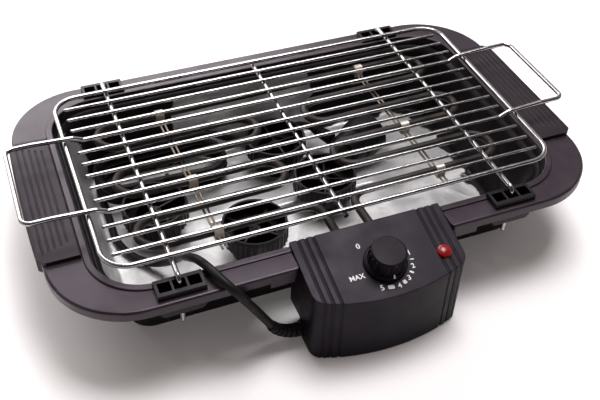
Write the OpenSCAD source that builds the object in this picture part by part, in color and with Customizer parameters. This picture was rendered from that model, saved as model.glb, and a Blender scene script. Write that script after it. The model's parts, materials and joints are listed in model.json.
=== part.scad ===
// Table-top electric grill: a deep drip tray that stands on the table, a plastic frame that sits on its
// flange, a plug-in heater with its thermostat box, and a lift-off wire rack on four sockets.
// The box's mains lead is folded up in the tray, beside the four stand feet that are stored there.
// Origin: middle of the tray's underside, on the table. +X to the right, +Y to the back, +Z up.

/* [Tray] */
// Height of the tray's flange over the table
tray_height = 68; // [60:1:80]
// Thickness of the tray's sheet
tray_sheet = 1; // [0.6:0.1:1.5]
// How far the wall leans in from the flange down to the floor
tray_lean = 14; // [8:1:20]
// Width of the flange inside the frame's opening
tray_flange = 6; // [5:0.5:8]
// How far the flange reaches under the frame
tray_seat = 3; // [2.5:0.5:4]
// Radius of the bead pressed into the flange
tray_bead = 1.2; // [0.8:0.1:1.6]

/* [Frame] */
// Width of the frame's side rails, which carry the grips
side_rail = 36; // [34:0.5:44]
// Width of the frame's front and rear rails, which carry the sockets
front_rail = 24; // [23.5:0.5:30]
// Radius of the frame's outer corners
rim_corner = 66; // [50:1:75]
// Thickness of the frame's top and walls
rim_wall = 2.5; // [2:0.1:3]
// Depth of the skirt round the outside
skirt_depth = 8.5; // [8:0.5:14]
// Rounding of the outer top edge
rim_round = 2.2; // [1:0.1:2.4]
// Length of the opening
opening_length = 397; // [394:1:405]
// Width of the opening
opening_width = 239; // [232:1:252]
// Radius of the opening's corners
opening_corner = 40; // [34:1:50]
// Depth of the wall round the opening, which stands on the tray's flange
opening_wall = 8; // [6:0.5:12]
// Width of the raised lip round the opening
lip_width = 6; // [4:0.5:6]
// Height of the raised lip
lip_height = 1.5; // [0.8:0.1:2.2]
// Depth of the wall behind the thermostat box
bay_wall_depth = 24; // [18:1:30]

/* [Grips] */
// Length of each grip
grip_length = 150; // [120:1:154]
// Thickness of a grip over the frame
grip_height = 3.5; // [3:0.1:5]
// How far a grip's flange stands out from the frame's side
grip_out = 5; // [4:0.1:7]
// How far the outer side bows out
grip_bow = 2; // [1:0.1:2.5]
// Number of grooves along a grip
grip_grooves = 5; // [3:1:5]
// Distance between grooves
groove_pitch = 5; // [4:0.1:5.5]

/* [Rack] */
// Height of the rack's bars over the table
rack_height = 90; // [88:0.5:94]
// Length of the rack without its handles
rack_length = 385; // [360:1:400]
// Distance between neighbouring bars
bar_pitch = 15.66; // [15:0.01:16]
// Number of bars, the two long sides and the two handle wires among them
bar_count = 15; // [15:2:15]
// Diameter of the outer wire and the handle wires
rack_wire = 4; // [3.5:0.1:4.5]
// Diameter of the bars between
bar_wire = 3; // [2.5:0.1:3.5]
// Radius of the rack's corners
rack_corner = 21; // [16:1:26]
// Gap between the ends of the bars and the outer wire
bar_gap = 7; // [5:0.5:12]
// Distance between the cross wires
cross_pitch = 141.5; // [125:0.5:150]
// How far the cross wires and sockets sit off the middle
cross_shift = -2; // [-6:0.5:6]
// Length of the rack over its handles
handle_span = 487; // [480:1:500]
// Rise of the handles over the bars
handle_rise = 6.5; // [4:0.5:10]
// Distance from the middle to the handle's knee
handle_knee = 218.5; // [214:0.5:224]
// Length of a foot below the bars
foot_length = 51.5; // [45:0.5:54]

/* [Sockets] */
// Length of a socket's collar
socket_length = 37.5; // [36:0.5:42]
// Width of a socket's collar
socket_width = 16.5; // [15:0.5:17]
// Height of the collar over the frame
socket_height = 5; // [3:0.5:7]
// How far the sockets sit in from the middle of their rail
socket_in = 1.3; // [1:0.1:1.6]
// Size of a pocket along the socket
pocket_length = 9.6; // [9:0.1:10]
// Wall between two pockets
pocket_wall = 1.9; // [1.5:0.1:2.2]
// Diameter of the hole in a pocket's floor
pocket_hole = 5; // [4.8:0.1:6]

/* [Heater] */
// How far the heater sits off the middle
unit_x = 12.5; // [0:0.5:14]
// Diameter of the heating tube
tube_d = 7.5; // [6.5:0.1:8]
// Height of the tube's middle over the table
tube_z = 60; // [58:0.5:61]
// Distance from the opening's front edge to the tube's front row
front_margin = 55.5; // [50:0.5:60]
// Distance from the opening's rear edge to the tube's rear row
rear_margin = 17.5; // [17:0.5:22]
// Distance from the heater's middle to the outer turns
outer_turn = 166; // [150:1:167]
// Distance from the heater's middle to the inner turns
inner_turn = 25; // [22:1:32]
// Distance from the heater's middle to each tail
tail_x = 15; // [12:0.5:18]
// Turn of the tube on its tails, as it lies in the grill
tube_turn = 1.6; // [-2:0.1:1.8]
// Distance from the heater's middle to the support rods
rod_x = 103.6; // [90:0.1:120]
// Diameter of a support rod
rod_d = 2; // [1.6:0.1:2.5]

/* [Thermostat box] */
// Width of the box
box_width = 130; // [116:1:132]
// Depth of the box from its back wall to the middle of its front
box_depth = 61; // [58:1:70]
// Height of the box's top at the back
box_top = 79.9; // [79.6:0.1:82]
// Slope of the top, in degrees
box_slope = 13.2; // [10:0.1:16]
// Radius of the bowed front
bow_radius = 176; // [150:1:260]
// Radius of the box's front corners
box_corner = 12; // [8:1:16]
// Thickness of the box's wall
box_wall = 2.5; // [2:0.1:3]
// Clearance under the box
box_clear = 1; // [0.8:0.1:3]
// Distance between the flutes
flute_pitch = 6.3; // [5.5:0.1:7]
// Distance from the box's back wall to the knob's middle
knob_depth = 32; // [28:1:36]
// Diameter of the knob's skirt
knob_d = 35; // [30:0.5:36]
// Diameter of the knob's cap
cap_d = 28; // [24:0.5:29]
// Height of the knob
knob_height = 17; // [14:0.5:20]
// Number of finger ribs round the knob
knob_ribs = 20; // [12:1:24]
// Diameter of the knob's shaft
shaft_d = 6; // [5:0.1:6.5]

/* [Stand feet] */
// Height of a stand foot
foot_height = 34; // [28:1:38]
// Diameter of a stand foot's collar
foot_d = 58.8; // [54:0.2:60]
// Diameter of a stand foot at its lower end
foot_low_d = 42; // [38:0.5:43]
// Number of ribs round a stand foot
foot_ribs = 36; // [24:1:40]

/* [Mains lead] */
// Diameter of the mains lead
cord_d = 7; // [6:0.1:7.2]

/* [Hidden] */
$fn = 64;

// Gaps between pieces: a running fit, a seat, and room to lift a piece out
fit_gap = 0.05;
seat_gap = 0.3;
lift_gap = 0.5;
tiny = 0.01;

// Heights
rim_top = tray_height + opening_wall;
cord_r = cord_d/2;
lip_top = rim_top + lip_height;
open_x = opening_length/2;
open_y = opening_width/2;
half_l = open_x + side_rail;
half_w = open_y + front_rail;
socket_y = open_y + front_rail/2 - socket_in;
front_row = -open_y + front_margin;
row_pitch = (opening_width - front_margin - rear_margin)/5;
wall_x = open_x - tray_flange;
wall_y = open_y - tray_flange;
wall_corner = opening_corner - tray_flange;
cross_top = rack_height - bar_wire/2;
outer_wire_z = cross_top + rack_wire/2;
cross_z = cross_top - rack_wire/2;
rack_half = rack_length/2;
rack_side = bar_pitch*(bar_count - 1)/2;
pocket_floor = tray_height - 4;
socket_bottom = pocket_floor - 9;
collar_top = rim_top + socket_height;
grip_top = rim_top + grip_height;
rod_z = tube_z - tube_d/2 - rod_d/2;

// Sheet floor's outline and the foot of the tray's wall
foot_round = 6;
floor_x = wall_x - tray_lean;
floor_y = wall_y - tray_lean;
floor_corner = wall_corner - tray_lean;

// Bay in the front rail for the thermostat box
bay_gap = 1;
bay_left = unit_x - box_width/2 - bay_gap;
bay_right = unit_x + box_width/2 + bay_gap;
bay_back = -open_y - 4;
bay_mouth = 3.5;
bridge_front = bay_back;
bridge_back = -open_y - 1;
bridge_top = rim_top + 0.9;
tail_slot = tail_x + 15;
tube_x = unit_x - 2;
bay_tab = 20;
bay_tab_drop = 5;

// Thermostat box
box_back = -open_y - 4.5;
box_hook = -open_y + 1.5;
box_step = box_back - 20;
step_z = 20;
box_half = box_width/2;
box_front = box_depth - box_back;
knob_y = knob_depth - box_back;
lamp_x = box_width/2 - 15.5;
lamp_y = -knob_y - 4.6;
slope_k = tan(box_slope);
front_side = sqrt(pow(bow_radius - box_corner, 2) - pow(box_half - box_corner, 2));
bow_y = bow_radius - box_front;
corner_y = bow_y - front_side;
knob_gap = 0.5;
shaft_bore = shaft_d/2 + fit_gap;
screw_x = 52;
screw_front = box_back - 46;
screw_back = box_back - 10;

function top_z(y) = box_top + (y - box_hook)*slope_k;

// Stored stand feet: places on the tray's floor
FEET = [[-129.5, 9], [-54.5, -43], [27.5, -5], [3.5, floor_y - 38.5]];
foot_band = 15;
foot_wall = 2;

// Mains lead: the gland's bend, the free route into the tray, the folded hank, the run to the plug
gland_y = box_back - 27;
gland_z = 14;
gland_bend = 28;
gland_turn = 62;
gland_x = unit_x - box_half - 2;
gland_end_x = gland_x - gland_bend*sin(gland_turn);
gland_end_z = gland_z + gland_bend*(1 - cos(gland_turn));
lead_z = tray_sheet + cord_r + 0.1;
hank_x = -108;
hank_y = 70;
hank_run = 38.5;
hank_fold = 21;
hank_side = 3.5;
hank_rise = cord_d + 0.6;
hank_loops = 3;
hank_left = hank_x - hank_run - hank_fold;
hank_back = hank_y + hank_side + hank_fold;
// The hank's rise along its length is flat where each turn starts
fold_arc = hank_fold*PI/2;
hank_turn_length = 4*fold_arc + 4*hank_run + 4*hank_side;
hank_end = hank_loops*hank_turn_length + 2*hank_side + fold_arc + 2*hank_run;
function hank_lift(d) =
    let (t = d/hank_turn_length)
    hank_rise*(t - sin(360*t)/(2*PI));
hank_top = lead_z + hank_lift(hank_end);
plug_turn = 28;
plug_z = 22.5;
plug_x = 80;
plug_y = 40;
plug_r = 21;
boot_length = 22;
boot_back = 12;
plug_a = [cos(plug_turn), sin(plug_turn), 0];
plug_b = [sin(plug_turn), -cos(plug_turn), 0];
boot_root = [plug_x, plug_y, plug_z] - boot_back*plug_a - plug_r*plug_b;
boot_start = boot_root - boot_length*plug_b;

LEAD = [
    [gland_end_x, gland_y, gland_end_z],
    [gland_end_x - 7*cos(gland_turn), gland_y, gland_end_z + 7*sin(gland_turn)],
    [-94, -151, 56],
    [-103, -150, 71],
    [-109, -146.5, 79],
    [-114.5, -137, 82.4],
    [-119.5, -123, 82],
    [-124, -110, 79],
    [-127.5, -98, 71],
    [-129, -85, 60],
    [-128, -72, 46],
    [-129, -59, 31],
    [-136, -46, 16.5],
    [-148, -33, 7.5],
    [-160, -16, 4.9],
    [hank_left, 6, lead_z],
    [hank_left, 34, lead_z],
    [hank_left, hank_y - hank_side - 8, lead_z],
    [hank_left, hank_y - hank_side, lead_z]
];
TAIL = [
    [hank_x + hank_run + 0.2, hank_back, hank_top],
    [hank_x + hank_run + 8, hank_back, hank_top],
    [-49, hank_back, 26.5],
    [-37, hank_back, 19],
    [-25, hank_back, 11.6],
    [-13, hank_back, 7],
    [-2, hank_back, 5.4],
    [10, hank_back, 6],
    [20.7, hank_back, 8.6],
    [30.3, 92.8, 14],
    [38.7, 87.9, 19.6],
    boot_start - 7.5*plug_b,
    boot_start
];

// Rounded rectangle, given by its half sizes and its corner radius
module rrect(hx, hy, r) {
    square([2*(hx - r), 2*hy], center = true);
    square([2*hx, 2*(hy - r)], center = true);
    for (sx = [-1, 1], sy = [-1, 1])
        translate([sx*(hx - r), sy*(hy - r)]) circle(r);
}

// Carries a drawn profile round a rounded rectangle: x of the profile points outwards
module around(hx, hy, r) {
    for (i = [0:3]) {
        off = (i % 2 == 0) ? hx : hy;
        along = (i % 2 == 0) ? hy : hx;
        rotate([0, 0, 90*i]) {
            translate([off, along - r, 0]) rotate([90, 0, 0]) linear_extrude(2*(along - r)) children();
            translate([off - r, along - r, 0]) rotate_extrude(angle = 90) translate([r, 0]) children();
        }
    }
}

function unit(v) = v/norm(v);
function side_of(v) = abs(v[2]) > 0.9 ? [1, 0, 0] : [0, 0, 1];
function cols(a, b, c, p) = [
    [a[0], b[0], c[0], p[0]],
    [a[1], b[1], c[1], p[1]],
    [a[2], b[2], c[2], p[2]],
    [0, 0, 0, 1]
];

// Straight round bar between two points
module bar(p, q, d) {
    w = unit(q - p);
    u = unit(cross(side_of(w), w));
    v = cross(w, u);
    multmatrix(cols(u, v, w, p)) cylinder(d = d, h = norm(q - p));
}

// True for a direction along X, Y or Z
function squared(v) = max(abs(v[0]), abs(v[1]), abs(v[2])) > 0.999999;

// Round wire through given points, bent at every inner point with its own radius
module wire(pts, radii, d) {
    n = len(pts);
    dirs = [for (i = [0:n - 2]) unit(pts[i + 1] - pts[i])];
    turns = [for (i = [0:n - 1]) (i == 0 || i == n - 1) ? 0 : acos(max(-1, min(1, dirs[i - 1]*dirs[i])))];
    cut = [for (i = [0:n - 1]) turns[i] == 0 ? 0 : radii[i]*tan(turns[i]/2)];
    seam = [for (i = [0:n - 1]) turns[i] == 0 || (squared(dirs[i - 1]) && squared(dirs[i])) ? 0 : 0.005];
    for (i = [0:n - 2]) {
        p = pts[i] + (cut[i] + seam[i])*dirs[i];
        q = pts[i + 1] - (cut[i + 1] + seam[i + 1])*dirs[i];
        if (norm(q - p) > 0.01) bar(p, q, d);
    }
    for (i = [1:n - 2]) if (turns[i] > 0.01) {
        t = pts[i] - cut[i]*dirs[i - 1];
        w = unit(cross(dirs[i - 1], dirs[i]));
        u = cross(dirs[i - 1], w);
        c = t - radii[i]*u;
        multmatrix(cols(u, dirs[i - 1], w, c)) rotate_extrude(angle = turns[i]) translate([radii[i], 0]) circle(d = d);
    }
}

// Smooth curve through route points, a few steps to each
function knot(p, i, k) = p[max(0, min(len(p) - 1, i + k))];
function blend(a, b, c, d, t) =
    0.5*((2*b) + (c - a)*t + (2*a - 5*b + 4*c - d)*t*t + (3*b - a - 3*c + d)*t*t*t);
function smooth(p, steps) = concat(
    [for (i = [0:len(p) - 2], s = [0:steps - 1])
        blend(knot(p, i, -1), knot(p, i, 0), knot(p, i, 1), knot(p, i, 2), s/steps)],
    [p[len(p) - 1]]
);
function heading(p, i) = unit(knot(p, i, 1) - knot(p, i, -1));

// Flexible tube swept along a curve, with square ends
module tube(p, r, sides) {
    n = len(p);
    rings = [for (i = [0:n - 1])
        let (t = heading(p, i), s = unit(cross(t, [0, 0, 1])), u = cross(s, t))
        for (k = [0:sides - 1]) p[i] + r*(cos(360*k/sides)*s + sin(360*k/sides)*u)];
    ends = [[for (k = [0:sides - 1]) k], [for (k = [sides - 1:-1:0]) (n - 1)*sides + k]];
    quads = [for (i = [0:n - 2], k = [0:sides - 1])
        let (a = i*sides + k, b = i*sides + (k + 1) % sides)
        each [[a, a + sides, b], [b, a + sides, b + sides]]];
    polyhedron(points = rings, faces = concat(ends, quads), convexity = 10);
}

// Drip tray: floor, rounded foot, leaning wall, flange with a pressed bead and a turned-down edge
function tray_inner() = concat(
    [for (a = [0:15:75]) [-foot_round + foot_round*sin(a) - tray_lean, tray_sheet + foot_round*(1 - cos(a))]],
    [[-2.2, tray_height - 9], [-0.8, tray_height - 3], [0.6, tray_height - 1], [2, tray_height]]
);
module tray_profile() {
    s = tray_sheet;
    edge = tray_flange + tray_seat;
    polygon(concat(
        tray_inner(),
        [[edge, tray_height], [edge, tray_height - 5], [edge - s, tray_height - 5], [edge - s, tray_height - s]],
        [[2.4, tray_height - s], [1.2, tray_height - s - 0.8], [0.3, tray_height - 3.4], [-1.1, tray_height - 9.2]],
        [for (a = [75:-15:0]) [-foot_round + (foot_round + s)*sin(a) - tray_lean, tray_sheet + foot_round - (foot_round + s)*cos(a)]]
    ));
}
module drip_tray() color([0.78, 0.78, 0.77]) difference() {
    union() {
        around(wall_x, wall_y, wall_corner) tray_profile();
        linear_extrude(tray_sheet)
            rrect(floor_x - foot_round + 0.1, floor_y - foot_round + 0.1, floor_corner - foot_round + 0.1);
        around(wall_x + 2.9, wall_y + 2.9, wall_corner + 2.9)
            translate([0, tray_height - tray_sheet/2]) intersection() {
                circle(tray_bead, $fn = 24);
                translate([-2, -0.1]) square([4, 3]);
            }
    }
    translate([bay_left - 4.5, -half_w, tray_height - 18])
        cube([bay_right - bay_left + 9, half_w - wall_y + 8, 40]);
}

// Stand foot: a ribbed collar on a narrower stem, hollow, with crossed ribs that grip the frame's spigot
module stand_foot() color([0.09, 0.09, 0.10]) {
    r = foot_d/2 - 0.8;
    low = foot_low_d/2;
    difference() {
        union() {
            cylinder(r = low, h = foot_band + 1);
            translate([0, 0, foot_band]) cylinder(r1 = r - 1.5, r2 = r, h = 1.5);
            translate([0, 0, foot_band + 1.5]) linear_extrude(foot_height - foot_band - 4) {
                circle(r);
                for (i = [0:foot_ribs - 1]) rotate([0, 0, i*360/foot_ribs]) translate([r, 0]) circle(0.8, $fn = 16);
            }
            translate([0, 0, foot_height - 3]) cylinder(r = r, h = 3);
        }
        translate([0, 0, foot_band + 3]) cylinder(r = r - foot_wall, h = foot_height);
        translate([0, 0, foot_wall]) cylinder(r = low - foot_wall, h = foot_height);
    }
    for (a = [20, 110]) rotate([0, 0, a]) {
        translate([-low + 1, -0.9, 1]) cube([2*low - 2, 1.8, foot_height - 8]);
        translate([-r + 1, -0.9, foot_band + 2]) cube([2*r - 2, 1.8, foot_height - foot_band - 9]);
    }
    translate([0, 0, 1]) cylinder(r = 5, h = foot_height - 9);
}
module stored_foot(i) translate([FEET[i][0], FEET[i][1], tray_sheet]) rotate([0, 0, 25*i]) stand_foot();

// Frame's plan, drawn in from the outside by a given amount
module frame_plan(inset) {
    r = bay_mouth - inset;
    difference() {
        rrect(half_l - inset, half_w - inset, rim_corner - inset);
        translate([bay_left - inset, -half_w - 1]) square([bay_right - bay_left + 2*inset, bay_back + half_w + 1 + inset]);
        for (s = [-1, 1]) {
            x = s < 0 ? bay_left - inset : bay_right + inset;
            translate([x, -half_w + inset]) difference() {
                translate([s < 0 ? -r : 0, -1]) square([r, r + 1]);
                translate([s*r, r]) circle(r);
            }
        }
    }
}

// Wall and lip round the opening
module lip_profile() {
    e = 1;
    t = lip_top;
    polygon([
        [0, tray_height], [rim_wall, tray_height], [rim_wall, rim_top - rim_wall], [lip_width, rim_top - rim_wall],
        [lip_width, t - e], [lip_width - 0.3*e, t - 0.3*e], [lip_width - e, t],
        [e, t], [0.3*e, t - 0.3*e], [0, t - e]
    ]);
}
module socket_place(sx, sy) translate([cross_shift + sx*cross_pitch, sy*socket_y, 0]) children();
module socket_places() for (sx = [-1, 1], sy = [-1, 1]) socket_place(sx, sy) children();
grip_screw_y = 0.38*grip_length;
GRIP_SCREWS = [for (sx = [-1, 1], sy = [-1, 1]) [sx*(half_l - 20), sy*grip_screw_y]];
// ribs under the short sides, the last one clear of the screw heads
side_rib_pitch = (grip_screw_y - 6)/3;

module base_frame() color([0.42, 0.38, 0.40]) difference() {
    union() {
        translate([0, 0, rim_top - rim_wall]) linear_extrude(rim_wall) difference() {
            frame_plan(0);
            rrect(open_x + 1, open_y + 1, opening_corner + 1);
        }
        translate([0, 0, rim_top - skirt_depth]) linear_extrude(skirt_depth) difference() {
            frame_plan(0);
            frame_plan(rim_wall);
        }
        difference() {
            around(open_x, open_y, opening_corner) lip_profile();
            translate([bay_left, -half_w, 0]) cube([bay_right - bay_left, half_w - open_y + lip_width + 1, 100]);
        }
        translate([bay_left - rim_wall, bridge_front, tray_height - bay_wall_depth])
            cube([bay_right - bay_left + 2*rim_wall, bridge_back - bridge_front, bridge_top - tray_height + bay_wall_depth]);
        for (s = [-1, 1])
            translate([s < 0 ? bay_left - bay_mouth - bay_tab : bay_right + bay_mouth, -half_w, rim_top - skirt_depth - bay_tab_drop])
                cube([bay_tab, rim_wall, bay_tab_drop + 1]);
        for (sx = [-1, 1], sy = [-1, 1]) {
            translate([sx*(open_x + 4.5), sy*(open_y - 1.5), rim_top - skirt_depth + 1])
                linear_extrude(skirt_depth - rim_wall) difference() {
                    circle(10.2);
                    circle(8.2);
                }
            for (k = [1:3]) translate([sx*(open_x + tray_seat + 1), sy*k*side_rib_pitch - 1, rim_top - 8])
                cube_from(sx, half_l - rim_wall - open_x - tray_seat, 2, 6);
        }
        for (k = [-5, -4, -1, 0, 1, 4, 5]) translate([k*28 - 1, open_y + tray_seat + 1, rim_top - 8])
            cube([2, half_w - rim_wall - open_y - tray_seat, 6]);
        for (k = [-5, 5]) translate([k*28 - 1, -half_w + 1, rim_top - 8])
            cube([2, half_w - rim_wall - open_y - tray_seat, 6]);
    }
    // rounding of the outer top edge
    around(half_l, half_w, rim_corner) difference() {
        translate([-rim_round, rim_top - rim_round]) square([rim_round + 1, rim_round + 1]);
        translate([-rim_round, rim_top - rim_round]) circle(rim_round);
    }
    // slot for the heating tube's tails
    translate([tube_x - tail_slot, -half_w, tube_z - 8]) cube([2*tail_slot, half_w - open_y + 6, 100]);
    socket_places() {
        translate([-socket_length/2 + 0.7, -7.1, 50]) cube([socket_length - 1.4, 14.2, 60]);
        translate([-socket_length/2 - 0.2, -socket_width/2 - 0.2, rim_top]) cube([socket_length + 0.4, socket_width + 0.4, 60]);
    }
    for (p = GRIP_SCREWS) translate([p[0], p[1], 50]) cylinder(d = 3.4, h = 50, $fn = 24);
}
module cube_from(s, x, y, z) translate([s < 0 ? -x : 0, 0, 0]) cube([x, y, z]);

// Grip over a short side of the frame
module grip(s) color([0.26, 0.24, 0.25]) mirror([s < 0 ? 1 : 0, 0, 0]) difference() {
    x0 = open_x + lip_width + 0.5;
    x1 = half_l + grip_out;
    big = (pow(grip_length/2, 2) + pow(grip_bow, 2))/(2*grip_bow);
    intersection() {
        translate([0, grip_length/2, 0]) rotate([90, 0, 0]) linear_extrude(grip_length) polygon(concat(
            [[half_l + 0.2, rim_top - 8.5], [half_l + 0.2, rim_top], [x0, rim_top], [x0, grip_top - 1]],
            [for (a = [90:-30:0]) [x0 + 1 - cos(90 - a), grip_top - 1 + sin(90 - a)]],
            [for (a = [0:15:90]) [x1 - 4 + 4*sin(a), grip_top - 4 + 4*cos(a)]],
            [[x1, rim_top - 8.5]]
        ));
        translate([0, 0, rim_top - 20]) linear_extrude(60) difference() {
            translate([x1 - big, 0]) circle(big, $fn = 720);
            for (t = [-1, 1]) translate([x1 - grip_bow, t*grip_length/2]) rotate([0, 0, 45]) square(8, center = true);
        }
    }
    for (k = [0:grip_grooves - 1]) translate([x0 + 7 + k*groove_pitch, 0, grip_top + 0.3]) rotate([90, 0, 0]) {
        cylinder(r = 0.9, h = grip_length - 34 + 4*k, center = true, $fn = 24);
        for (t = [-1, 1]) translate([0, 0, t*(grip_length/2 - 17 + 2*k)]) sphere(r = 0.9, $fn = 24);
    }
    for (y = [-grip_screw_y, grip_screw_y]) translate([half_l - 20, y, 50]) cylinder(d = 3.1, h = grip_top - 1 - 50, $fn = 24);
}
module grip_left() grip(-1);
module grip_right() grip(1);
module grip_screws() color([0.6, 0.6, 0.6]) for (p = GRIP_SCREWS) translate([p[0], p[1], 0]) {
    translate([0, 0, rim_top - rim_wall - 2]) cylinder(d = 6, h = 2, $fn = 24);
    translate([0, 0, rim_top - rim_wall - tiny]) cylinder(d = 3, h = grip_top - 1.3 - rim_top + rim_wall, $fn = 24);
}

// Rack socket: a collar on the frame and a stepped body with three pockets
module rack_socket() color([0.07, 0.07, 0.08]) difference() {
    union() {
        translate([-socket_length/2, -socket_width/2, rim_top]) cube([socket_length, socket_width, socket_height]);
        reach = socket_length/2 - 0.9;
        translate([0, 6.9, 0]) rotate([90, 0, 0]) linear_extrude(13.8) polygon([
            [-reach, rim_top + 1], [-reach, socket_bottom + 3], [3 - reach, socket_bottom],
            [reach - 3, socket_bottom], [reach, socket_bottom + 3], [reach, rim_top + 1]
        ]);
    }
    for (k = [-1:1]) translate([k*(pocket_length + pocket_wall), 0, 0]) {
        translate([-pocket_length/2, -pocket_length/2, pocket_floor]) cube([pocket_length, pocket_length, 50]);
        cylinder(d = pocket_hole, h = 80, $fn = 32);
    }
}
module socket_front_left() socket_place(-1, -1) rack_socket();
module socket_front_right() socket_place(1, -1) rack_socket();
module socket_rear_left() socket_place(-1, 1) rack_socket();
module socket_rear_right() socket_place(1, 1) rack_socket();

// Heating tube: one wire, six rows with outer and inner returns, two tails into the box
function turned(p) = [
    tube_x + p[0]*cos(tube_turn) - (p[1] - box_hook)*sin(tube_turn),
    box_hook + p[0]*sin(tube_turn) + (p[1] - box_hook)*cos(tube_turn),
    p[2]
];
function row_y(k) = front_row + k*row_pitch;
function half_route(s) = [
    [s*tail_x, row_y(0)], [s*outer_turn, row_y(0)], [s*outer_turn, row_y(1)], [s*inner_turn, row_y(1)],
    [s*inner_turn, row_y(2)], [s*outer_turn, row_y(2)], [s*outer_turn, row_y(3)], [s*inner_turn, row_y(3)],
    [s*inner_turn, row_y(4)], [s*outer_turn, row_y(4)], [s*outer_turn, row_y(5)]
];
function flip(v) = [for (i = [len(v) - 1:-1:0]) v[i]];
tube_end = box_back - 16;
tube_plan = concat([[-tail_x, tube_end]], half_route(-1), flip(half_route(1)), [[tail_x, tube_end]]);
tube_route = [for (p = tube_plan) [p[0], p[1] - box_hook, tube_z]];
tube_radii = concat([0, 15], [for (i = [1:20]) row_pitch/2], [15, 0]);
module as_turned() translate([tube_x, box_hook, 0]) rotate([0, 0, tube_turn]) children();
module heating_tube() color([0.25, 0.20, 0.18]) as_turned() wire(tube_route, tube_radii, tube_d);

// Cold ends of the tube: collars in the box's back wall, pins and blades
module tube_terminals() color([0.72, 0.70, 0.66]) as_turned() for (s = [-1, 1]) translate([s*tail_x, -box_hook, tube_z]) {
    translate([0, tube_end + 7, 0]) rotate([-90, 0, 0]) difference() {
        cylinder(d = tube_d + 6, h = 5);
        translate([0, 0, -1]) cylinder(d = tube_d + 2*fit_gap, h = 7);
    }
    translate([0, tube_end - 0.1, 0]) rotate([90, 0, 0]) cylinder(d = 3, h = 6, $fn = 24);
    translate([-3.2, tube_end - 12, -0.4]) cube([6.4, 8, 0.8]);
}

// Support rods below the tube, and the clips that hold both
module rod_pair(s) color([0.70, 0.66, 0.55]) as_turned() for (t = [-2, 2])
    bar([s*rod_x + t, row_y(0) - 17 - box_hook, rod_z], [s*rod_x + t, row_y(5) + 4.5 - box_hook, rod_z], rod_d);
module support_rods_left() rod_pair(-1);
module support_rods_right() rod_pair(1);
module rod_clips() color([0.82, 0.78, 0.68]) for (s = [-1, 1], k = [0, 2, 5]) {
    c = turned([s*rod_x, row_y(k), tube_z]);
    r = tube_d/2 + 0.8;
    translate(c) rotate([0, 0, tube_turn]) difference() {
        union() {
            rotate([0, 90, 0]) cylinder(r = r, h = 8, center = true);
            translate([-4, -r, rod_z - tube_z - rod_d/2 - 0.6]) cube([8, 2*r, tube_z - rod_z + rod_d/2 + 0.6]);
        }
        rotate([0, 90, 0]) cylinder(r = tube_d/2 + fit_gap, h = 20, center = true);
        for (t = [-2, 2]) translate([t, 0, rod_z - tube_z]) rotate([90, 0, 0])
            cylinder(r = rod_d/2 + fit_gap, h = 20, center = true, $fn = 24);
    }
}

// Box's plan: bowed front, rounded front corners, straight back
module box_plan(inset, back) {
    h = box_half - inset;
    r = box_corner - inset;
    intersection() {
        translate([0, bow_y]) circle(bow_radius - inset, $fn = 360);
        translate([0, -150]) union() {
            translate([-box_half + box_corner, -100]) square([2*(box_half - box_corner), 100 + 150 + back]);
        }
    }
    translate([-h, corner_y]) square([2*h, back - corner_y]);
    for (s = [-1, 1]) translate([s*(box_half - box_corner), corner_y]) circle(r);
}

// Everything under the box's sloping top, lowered by a given amount
module under_top(drop) translate([0, box_hook, box_top - drop]) rotate([box_slope, 0, 0])
    translate([-200, -200, -300]) cube([400, 400, 300]);
// Puts a thing on the sloping top, at a place behind the middle of the grill
module on_top(x, y) translate([x, y, top_z(y)]) rotate([box_slope, 0, 0]) children();

module control_housing() color([0.24, 0.22, 0.23]) difference() {
    union() {
        intersection() {
            translate([unit_x, 0, box_clear]) linear_extrude(100) box_plan(0, box_back);
            under_top(0);
        }
        intersection() {
            translate([unit_x - box_half, box_back - 3, bridge_top + seat_gap]) cube([box_width, box_hook - box_back + 3, 20]);
            under_top(0);
        }
        intersection() {
            translate([unit_x - box_half, bridge_back + seat_gap, tube_z + 6]) cube([box_width, box_hook - bridge_back - seat_gap, 30]);
            under_top(0);
        }
    }
    difference() {
        intersection() {
            translate([unit_x, 0, -1]) linear_extrude(100) box_plan(box_wall, box_back - box_wall);
            under_top(box_wall);
        }
        for (s = [-1, 1]) {
            translate([unit_x + s*screw_x, screw_front, 6.3]) cylinder(r = 3.6, h = 90, $fn = 32);
            translate([unit_x + s*screw_x, screw_back, step_z + 6.3]) cylinder(r = 3.6, h = 90, $fn = 32);
        }
    }
    // step in the underside
    translate([unit_x - 100, box_step, -1]) cube([200, 60, step_z + 1]);
    // pilot holes
    for (s = [-1, 1]) {
        translate([unit_x + s*screw_x, screw_front, 0]) cylinder(d = 3.1, h = 20, $fn = 24);
        translate([unit_x + s*screw_x, screw_back, step_z]) cylinder(d = 3.1, h = 18, $fn = 24);
    }
    // holes for the shaft, the lamp, the tube's collars and the gland
    on_top(unit_x, -knob_y) translate([0, 0, -10]) cylinder(r = shaft_bore, h = 20);
    on_top(unit_x + lamp_x, lamp_y) translate([0, 0, -10]) cylinder(r = 4.6, h = 20);
    for (s = [-1, 1]) translate([tube_x + s*tail_x, box_back - 5, tube_z]) rotate([-90, 0, 0]) cylinder(d = tube_d + 1, h = 10);
    translate([gland_x - 4, gland_y, gland_z]) rotate([0, 90, 0]) cylinder(d = 9.4, h = 10);
    // flutes on the top and down the front
    for (s = [-1, 1], k = [0:2]) {
        x = box_half - 7 - k*flute_pitch;
        on_top(unit_x + s*x, box_hook) translate([0, 10, 0.5]) rotate([90, 0, 0]) cylinder(r = 1.3, h = 100, $fn = 24);
        translate([unit_x + s*x, box_flute_y(x), 0]) cylinder(r = 1.3, h = 100, $fn = 24);
    }
}
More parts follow.
